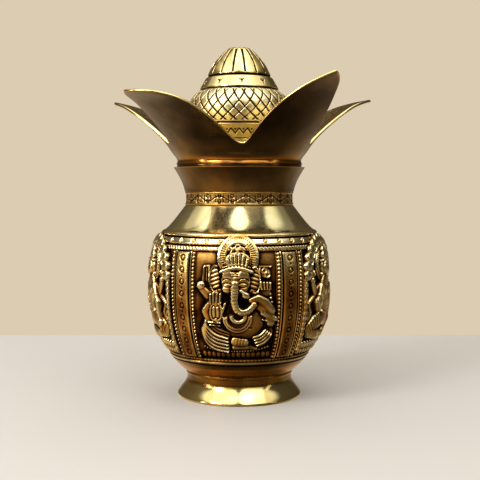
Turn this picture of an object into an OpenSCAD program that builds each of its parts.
// Brass kalash: a footed water pot with cast relief panels, and a lift-off lid of
// five mango leaves that carries a loose coconut.
// +Z is up, the pot's axis is Z, and the origin is the centre of the foot's resting plane.
// Azimuth 0 is the front, along -Y, and grows towards +X.

/* [Foot] */
// Radius of the foot where it rests
foot_r = 31; // [26:0.5:38]
// Radius of the waist between foot and belly
waist_r = 26; // [20:0.5:27]
// Height of the narrowest place
waist_z = 9; // [6:0.5:11]
// Height of the foot ring, up to the belly
foot_h = 12.7; // [12.2:0.1:18]
// Wall of the foot ring
foot_wall = 2.4; // [1.6:0.1:3.2]

/* [Belly] */
// Radius of the belly's ground, without its relief
belly_r = 43.4; // [38:0.1:52]
// Height of the belly shell
belly_h = 69.3; // [58:0.1:84]
// Wall of the belly
belly_wall = 2.2; // [1.4:0.1:3]
// Thickness of the disc that closes the vessel
floor_t = 2; // [1.2:0.1:3]
// Number of relief panels round the belly
panel_count = 5; // [4:1:6]
// Width of the flat strip between two panels, in degrees
strip_deg = 6; // [4:0.5:9]
// How far the strips and figures stand out of the ground
relief_h = 1.2; // [0.6:0.1:1.6]

/* [Shoulder and neck] */
// Height of the polished cone between belly and collar
shoulder_h = 12.8; // [9:0.1:18]
// Outside radius of the neck tube, inside its collar
neck_r = 25.4; // [22:0.1:27]
// Wall of the shoulder and neck
neck_wall = 1.8; // [1.2:0.1:2.6]
// Height of the engraved collar
collar_h = 6.4; // [4:0.1:9]
// Thickness of the engraved collar
collar_t = 1.4; // [0.8:0.1:2.2]

/* [Mouth] */
// Radius of the mouth at its rim
mouth_r = 32.6; // [30:0.1:38]
// Height of the flared mouth
mouth_h = 12; // [9:0.1:16]
// Wall of the mouth at its rim
mouth_wall = 1.8; // [1.2:0.1:2.6]

/* [Leaf lid] */
// Clearance between lid and mouth
lid_gap = 0.35; // [0.2:0.05:0.7]
// Wall of the lid's cup and spigot
cup_wall = 1.4; // [1:0.1:2]
// Length of the spigot that drops into the neck
spigot_h = 6; // [3:0.5:9]
// Thickness of the leaf sheet
leaf_t = 1.3; // [0.9:0.1:2]
// How far the leaves spread from the axis
leaf_reach = 73; // [60:0.5:84]
// Height of the leaves above their collar
leaf_rise = 37; // [28:0.5:44]

/* [Coconut] */
// Radius of the coconut at its widest
nut_r = 25.4; // [21:0.1:27]
// Radius of the flat that the coconut stands on
nut_foot_r = 12.2; // [9:0.1:15]
// Height of the lower cup of the coconut
nut_base_h = 24.2; // [19:0.1:28]
// Height of the engraved body of the coconut
nut_body_h = 24; // [20:0.1:29]
// Height of the plain band
nut_band_h = 6.6; // [4:0.1:9]
// Height of the ribbed dome
nut_dome_h = 14.4; // [11:0.1:18]
// Wall of the coconut
nut_wall = 1.7; // [1.2:0.1:2.4]
// Clearance round the coconut's foot in its seat
nut_gap = 0.4; // [0.2:0.05:0.8]

/* [Hidden] */
$fn = 96;

BRASS = [0.80, 0.62, 0.24];
AGED_BRASS = [0.52, 0.36, 0.12];
PALE_BRASS = [0.87, 0.76, 0.42];

// Heights of the joints, from the foot up
belly_top = foot_h + belly_h;
collar_z = belly_top + shoulder_h;
mouth_z = collar_z + collar_h;
rim_z = mouth_z + mouth_h;
stand_gap = 0.05;
bead_r = 0.7;
bead_w = 1.3;
leaf_z = rim_z + stand_gap + 2 * bead_r;
seat_t = 1.5;
seat_z = mouth_z + seat_t;
nut_z = seat_z + stand_gap;
body_z = nut_z + nut_base_h;
band_z = body_z + nut_body_h;
dome_z = band_z + nut_band_h;

// Radii where two pieces meet
foot_top_r = waist_r + 0.6;
foot_top_in = foot_top_r - 1.5 * foot_wall;
floor_r = foot_top_r - belly_wall;
belly_top_r = belly_r - 5.9;
neck_in = neck_r - neck_wall;
collar_r = neck_r + collar_t;
mouth_foot_r = collar_r + 0.3;
cup_top_r = mouth_r - mouth_wall - lid_gap - 0.25;
cup_foot_r = neck_in - lid_gap;
lip_r = nut_foot_r + nut_gap;
lip_t = 1.4;
lip_h = 2.6;
nut_foot_h = 3;
body_foot_r = nut_r - 4.2;
body_top_r = nut_r - 6.4;
dome_r = nut_r - 9.6;

CURVE_STEPS = 10;
// Height of the belly that the figures are drawn for
figure_h = 69.3;
eps = 0.01;

// Point at share t of the cubic curve with control points p
function curve_at(p, t) =
    pow(1 - t, 3) * p[0] + 3 * pow(1 - t, 2) * t * p[1]
    + 3 * (1 - t) * t * t * p[2] + pow(t, 3) * p[3];
function curve(p, n = CURVE_STEPS) = [for (i = [0:n]) curve_at(p, i / n)];
function reversed(v) = [for (i = [len(v) - 1:-1:0]) v[i]];
function joined(a, b) = concat(a, [for (i = [1:len(b) - 1]) b[i]]);
// The control points moved towards the axis by dr and up by dz
function inset(p, dr, dz = 0) = [for (q = p) [q.x - dr, q.y + dz]];

// Ground of the belly, from its joint with the foot to its joint with the shoulder
function belly_lower(dr = 0) = [[foot_top_r - dr, foot_h],
    [belly_r - 7.4 - dr, foot_h + 0.09 * belly_h + 0.6 * dr],
    [belly_r + 0.2 - dr, foot_h + 0.31 * belly_h],
    [belly_r - dr, foot_h + 0.62 * belly_h]];
function belly_upper(dr = 0) = [[belly_r - dr, foot_h + 0.62 * belly_h],
    [belly_r + 0.1 - dr, foot_h + 0.8 * belly_h],
    [belly_r - 0.8 - dr, foot_h + 0.91 * belly_h],
    [belly_top_r - dr, belly_top]];
function belly_curve(dr = 0) = joined(curve(belly_lower(dr)), curve(belly_upper(dr)));

// The mouth's outside and inside
mouth_outer = [[mouth_foot_r, mouth_z], [mouth_foot_r + 0.4, mouth_z + 0.28 * mouth_h],
    [mouth_r - 2.7, mouth_z + 0.66 * mouth_h], [mouth_r, rim_z]];
mouth_inner = [[neck_in, mouth_z], [neck_in + 0.4, mouth_z + 0.3 * mouth_h],
    [mouth_r - mouth_wall - 3.6, mouth_z + 0.64 * mouth_h], [mouth_r - mouth_wall, rim_z]];

// A ring's outline, from its outside and its inside, both read upwards
module ring(outer, inner) {
    rotate_extrude() polygon(concat(outer, reversed(inner)));
}

// ---- The pot ----

module foot_ring() {
    land = 1;
    flare = [[foot_r, land], [foot_r - 1.6, 0.4 * waist_z], [waist_r + 0.1, 0.75 * waist_z],
        [waist_r, waist_z]];
    color(BRASS) ring(
        concat([[foot_r - 0.4, 0]], curve(flare), [[foot_top_r, foot_h]]),
        [[foot_r - foot_wall, 0], [waist_r - foot_wall, waist_z], [foot_top_in, foot_h]]);
}

module vessel_floor() {
    color(AGED_BRASS) translate([0, 0, foot_h]) cylinder(r = floor_r, h = floor_t);
}

// A raised hoop round the belly between two heights
module belly_hoop(low, high, stand) {
    outer = [for (q = belly_curve(-stand)) if (q.y > low && q.y < high) q];
    rotate_extrude() polygon(concat(
        [[belly_r - 8, low], [radius_at(low) + stand, low]], outer,
        [[radius_at(high) + stand, high], [belly_r - 8, high]]));
}

// Radius of the belly's ground at height z, between the curve's own points
function radius_at(z) = let (c = belly_curve()) lookup(z, [for (q = c) [q.y, q.x]]);

// An upright strip of the belly, raised between two azimuths
module belly_stave(from_deg, width_deg, stand, low, high) {
    outer = [for (q = belly_curve(-stand)) if (q.y > low && q.y < high) q];
    rotate([0, 0, from_deg - 90]) rotate_extrude(angle = width_deg) polygon(concat(
        [[belly_r - 12, low], [radius_at(low) + stand, low]], outer,
        [[radius_at(high) + stand, high], [belly_r - 12, high]]));
}

// A point of a panel's drawing, p.x across it and p.y above its middle, set on the belly's ground and sunk into it
function belly_point(azimuth, p, sink) =
    let (size = belly_h / figure_h,
         turn = azimuth + p.x * size / belly_r * 180 / PI,
         z = foot_h + 0.5 * belly_h + p.y * size,
         r = radius_at(z) - sink)
    [r * sin(turn), -r * cos(turn), z];

module knob(azimuth, at, thick, sink) {
    translate(belly_point(azimuth, at, sink)) sphere(r = thick);
}

// A round bar on the belly between two points of the drawing, with a fuller knob at its far end
module limb(azimuth, from, to, thick, sink) {
    start = belly_point(azimuth, from, sink);
    along = belly_point(azimuth, to, sink) - start;
    translate(start) rotate([0, acos(along.z / norm(along)), atan2(along.y, along.x)])
        cylinder(r = thick, h = norm(along));
    knob(azimuth, to, 1.12 * thick, sink);
}

// A seated figure with an elephant's head and a halo, as the plain masses that the casting has
module figure(azimuth) {
    mid = foot_h + 0.5 * belly_h;
    halo = belly_point(azimuth, [1, 24.2], 0);
    translate(halo) rotate([90, 0, azimuth]) rotate_extrude() translate([8.2, 0]) circle(r = 1.4, $fn = 24);
    translate(belly_point(azimuth, [0.6, 18.4], 2)) rotate([0, 0, azimuth]) cylinder(r1 = 7, r2 = 2.4, h = 9.4);
    knob(azimuth, [-0.2, 13.6], 7.4, 4.2);
    knob(azimuth, [0.4, 5], 10.4, 7.9);
    knob(azimuth, [1.6, -5], 12.4, 8.4);
    for (side = [-1, 1]) {
        translate(belly_point(azimuth, [8.6 * side, 13.6], 1)) rotate([90, 0, azimuth + 11 * side])
            cylinder(r = 4.8, h = 2);
        limb(azimuth, [-3 * side, -16.8 - side], [13.6 * side, -14], 4.2, 2.2);
        limb(azimuth, [4 * side, 4.8], [15 * side, 9.2], 2.6, 1.3);
    }
    limb(azimuth, [-0.3, 11], [0.2, 1.8], 2.5, -0.2);
    limb(azimuth, [-0.6, 1.2], [7.6, 1], 2, -0.9);
    limb(azimuth, [5, 3.6], [14.2, -5.4], 2.9, 1.1);
    limb(azimuth, [-5, 4], [-12.8, -4.6], 2.8, 1.2);
    limb(azimuth, [-12, -4], [-10, 2.4], 2.4, 0.4);
    belly_stave(azimuth - 21, 42, 0.9 * relief_h, mid - 24.6, mid - 20.6);
}

module belly_shell() {
    pitch = 360 / panel_count;
    hoop_low = foot_h + 0.885 * belly_h;
    hoop_mid = foot_h + 0.928 * belly_h;
    border_low = foot_h + 0.105 * belly_h;
    color(AGED_BRASS) difference() {
        union() {
            rotate_extrude() polygon(concat([[0, foot_h]], belly_curve(), [[0, belly_top]]));
            belly_hoop(border_low, border_low + 2, 0.7);
            belly_hoop(hoop_low, hoop_low + 2.2, 0.45);
            belly_hoop(hoop_mid, hoop_mid + 3.2, 0.6);
            for (i = [0:panel_count - 1]) {
                middle = (i + 0.5) * pitch;
                belly_stave(middle - strip_deg / 2, strip_deg, 0.5 * relief_h, border_low + 2, hoop_low);
                for (side = [-1, 1])
                    belly_stave(middle + side * (strip_deg / 2 + 2.6) - 1.2, 2.4, relief_h,
                        border_low + 2, hoop_low);
                figure(i * pitch);
            }
        }
        rotate_extrude() polygon(concat([[0, foot_h - 1], [floor_r, foot_h - 1],
            [floor_r, foot_h + floor_t]],
            [for (q = belly_curve(belly_wall)) if (q.y > foot_h + floor_t + 1) q],
            [[belly_top_r - belly_wall, belly_top + 1], [0, belly_top + 1]]));
    }
}

module shoulder_cone() {
    slope = [[belly_top_r, belly_top], [belly_top_r - 4, belly_top + 0.3 * shoulder_h],
        [neck_r + 4.4, belly_top + 0.66 * shoulder_h], [collar_r - 0.3, collar_z]];
    inside = [[belly_top_r - belly_wall, belly_top],
        [belly_top_r - belly_wall - 4, belly_top + 0.26 * shoulder_h],
        [neck_in + 4, belly_top + 0.56 * shoulder_h], [neck_in, collar_z - 1]];
    color(PALE_BRASS) ring(
        concat(curve(slope), [[neck_r, collar_z], [neck_r, mouth_z]]),
        concat(curve(inside), [[neck_in, mouth_z]]));
}

module neck_collar() {
    lip = 0.8;
    color(AGED_BRASS) translate([0, 0, collar_z]) difference() {
        union() {
            cylinder(r = collar_r - 0.3, h = collar_h);
            cylinder(r = collar_r, h = lip);
            translate([0, 0, collar_h - lip]) cylinder(r = collar_r, h = lip);
        }
        translate([0, 0, -1]) cylinder(r = neck_r, h = collar_h + 2);
    }
}

module mouth_flare() {
    color(BRASS) ring(curve(mouth_outer), curve(mouth_inner));
}

// ---- The leaf lid ----

module lid_spigot() {
    color(BRASS) translate([0, 0, mouth_z - spigot_h]) difference() {
        cylinder(r = cup_foot_r, h = spigot_h);
        translate([0, 0, -1]) cylinder(r = cup_foot_r - cup_wall, h = spigot_h + 2);
    }
}

module lid_cup() {
    bead = [for (a = [-60:15:90]) [cup_top_r + bead_w * cos(a), leaf_z - bead_r + bead_r * sin(a)]];
    color(BRASS) ring(
        concat(curve(inset(mouth_inner, lid_gap)), [[cup_top_r + bead_w, rim_z + stand_gap]], bead),
        concat(curve(inset(mouth_inner, lid_gap + cup_wall)), [[cup_top_r - cup_wall, leaf_z]]));
}

// A disc across the foot of the cup, with an upstanding lip that centres the coconut
module coconut_seat() {
    color(BRASS) translate([0, 0, mouth_z]) {
        cylinder(r = cup_foot_r - cup_wall, h = seat_t);
        difference() {
            cylinder(r = lip_r + lip_t, h = seat_t + lip_h);
            translate([0, 0, seat_t]) cylinder(r = lip_r, h = lip_h + 1);
        }
    }
}

// Tip of each leaf: azimuth, share of the reach and lift of the tip, because each is bent by hand
leaf_tips = [[39, 0.93, 4], [110, 0.98, -4.5], [180, 0.9, 0], [251, 0.91, -3.5], [312, 0.905, -1.5]];
// Azimuth of the notch before each leaf
leaf_notches = [3, 76, 146, 217, 293];
leaf_outline = [[cup_top_r, leaf_z], [cup_top_r + 2.4, leaf_z + 0.24 * leaf_rise],
    [leaf_reach - 18, leaf_z + 0.86 * leaf_rise], [leaf_reach, leaf_z + leaf_rise]];
// Share of the leaf's curve where the notches end
notch_share = 0.265;
LEAF_COLS = 10;
LEAF_ROWS = 12;

// Unit normal of the leaf's curve at share t, on the side of the axis, and level at its foot
function leaf_normal(t) = t < eps ? [-1, 0] :
    let (d = curve_at(leaf_outline, t + eps) - curve_at(leaf_outline, t - eps)) [-d.y, d.x] / norm(d);
// How far the leaf's edge climbs at share x of the way from its tip to its notch
function leaf_edge(x) = pow(max(0, 1 - pow(abs(x), 1.3)), 1.2);
// Point of the leaf sheet: column position x, height share v, side 0 outside or 1 inside
function leaf_point(i, x, v, side) =
    let (tip = leaf_tips[i],
         before = leaf_notches[i],
         after = i == 4 ? leaf_notches[0] + 360 : leaf_notches[i + 1],
         azimuth = tip.x + (x < 0 ? x * (tip.x - before) : x * (after - tip.x)),
         t = v * (notch_share + (tip.y - notch_share) * leaf_edge(x)),
         w = max(0, (t - notch_share) / (1 - notch_share)),
         bend = tip.z * (1 - pow(abs(x), 2)),
         p = curve_at(leaf_outline, t) + side * leaf_t * leaf_normal(t)
             + [-0.35 * bend * w, bend * pow(w, 1.3)])
    [p.x * sin(azimuth), -p.x * cos(azimuth), p.y];

module leaf_crown() {
    columns = [for (i = [0:4]) for (k = [-LEAF_COLS:LEAF_COLS - 1]) [i, k / LEAF_COLS]];
    n = len(columns);
    rows = LEAF_ROWS + 1;
    points = [for (side = [0, 1]) for (c = columns) for (v = [0:LEAF_ROWS])
        leaf_point(c[0], c[1], v / LEAF_ROWS, side)];
    function at(side, c, v) = side * n * rows + (c % n) * rows + v;
    faces = [for (c = [0:n - 1]) each concat(
        [for (v = [0:LEAF_ROWS - 1]) each [
            [at(0, c, v), at(0, c, v + 1), at(0, c + 1, v + 1)],
            [at(0, c, v), at(0, c + 1, v + 1), at(0, c + 1, v)],
            [at(1, c, v), at(1, c + 1, v + 1), at(1, c, v + 1)],
            [at(1, c, v), at(1, c + 1, v), at(1, c + 1, v + 1)]]],
        [[at(0, c, 0), at(0, c + 1, 0), at(1, c + 1, 0)],
         [at(0, c, 0), at(1, c + 1, 0), at(1, c, 0)],
         [at(0, c, LEAF_ROWS), at(1, c + 1, LEAF_ROWS), at(0, c + 1, LEAF_ROWS)],
         [at(0, c, LEAF_ROWS), at(1, c, LEAF_ROWS), at(1, c + 1, LEAF_ROWS)]])];
    color(AGED_BRASS) polyhedron(points, faces);
}

// ---- The coconut ----

module coconut_base() {
    side = [[nut_foot_r, nut_z + nut_foot_h], [nut_foot_r + 3.4, nut_z + 0.42 * nut_base_h],
        [body_foot_r - 2.4, nut_z + 0.68 * nut_base_h], [body_foot_r, body_z]];
    hollow = [[0, nut_z + nut_wall], [nut_foot_r - nut_wall, nut_z + nut_wall]];
    color(PALE_BRASS) ring(
        concat([[0, nut_z], [nut_foot_r, nut_z]], curve(side)),
        concat(hollow, curve(inset(side, nut_wall, 0.5)), [[body_foot_r - nut_wall, body_z]]));
}

body_lower = [[body_foot_r, body_z], [body_foot_r + 1.6, body_z + 0.2 * nut_body_h],
    [nut_r, body_z + 0.36 * nut_body_h], [nut_r, body_z + 0.58 * nut_body_h]];
body_upper = [[nut_r, body_z + 0.58 * nut_body_h], [nut_r, body_z + 0.78 * nut_body_h],
    [nut_r - 2.4, body_z + 0.9 * nut_body_h], [body_top_r, band_z]];

module coconut_body() {
    color(PALE_BRASS) ring(
        joined(curve(body_lower), curve(body_upper)),
        joined(curve(inset(body_lower, nut_wall)), curve(inset(body_upper, nut_wall))));
}

module coconut_band() {
    step = 0.5;
    color(PALE_BRASS) ring(
        [[body_top_r + step - 0.2, band_z], [body_top_r + step, band_z + 0.5],
            [dome_r + step, dome_z - 0.3], [dome_r + step - 0.3, dome_z]],
        [[body_top_r - nut_wall, band_z], [dome_r - nut_wall, dome_z]]);
}

module coconut_dome() {
    skin = [[dome_r, dome_z], [dome_r - 1.4, dome_z + 0.42 * nut_dome_h],
        [dome_r - 6, dome_z + nut_dome_h], [0, dome_z + nut_dome_h]];
    lining = [[dome_r - nut_wall, dome_z], [dome_r - 1.4 - nut_wall, dome_z + 0.36 * nut_dome_h],
        [dome_r - 6 - nut_wall, dome_z + nut_dome_h - nut_wall], [0, dome_z + nut_dome_h - nut_wall]];
    color(PALE_BRASS) ring(curve(skin), curve(lining));
}

foot_ring();
vessel_floor();
belly_shell();
shoulder_cone();
neck_collar();
mouth_flare();
lid_spigot();
lid_cup();
coconut_seat();
leaf_crown();
coconut_base();
coconut_body();
coconut_band();
coconut_dome();
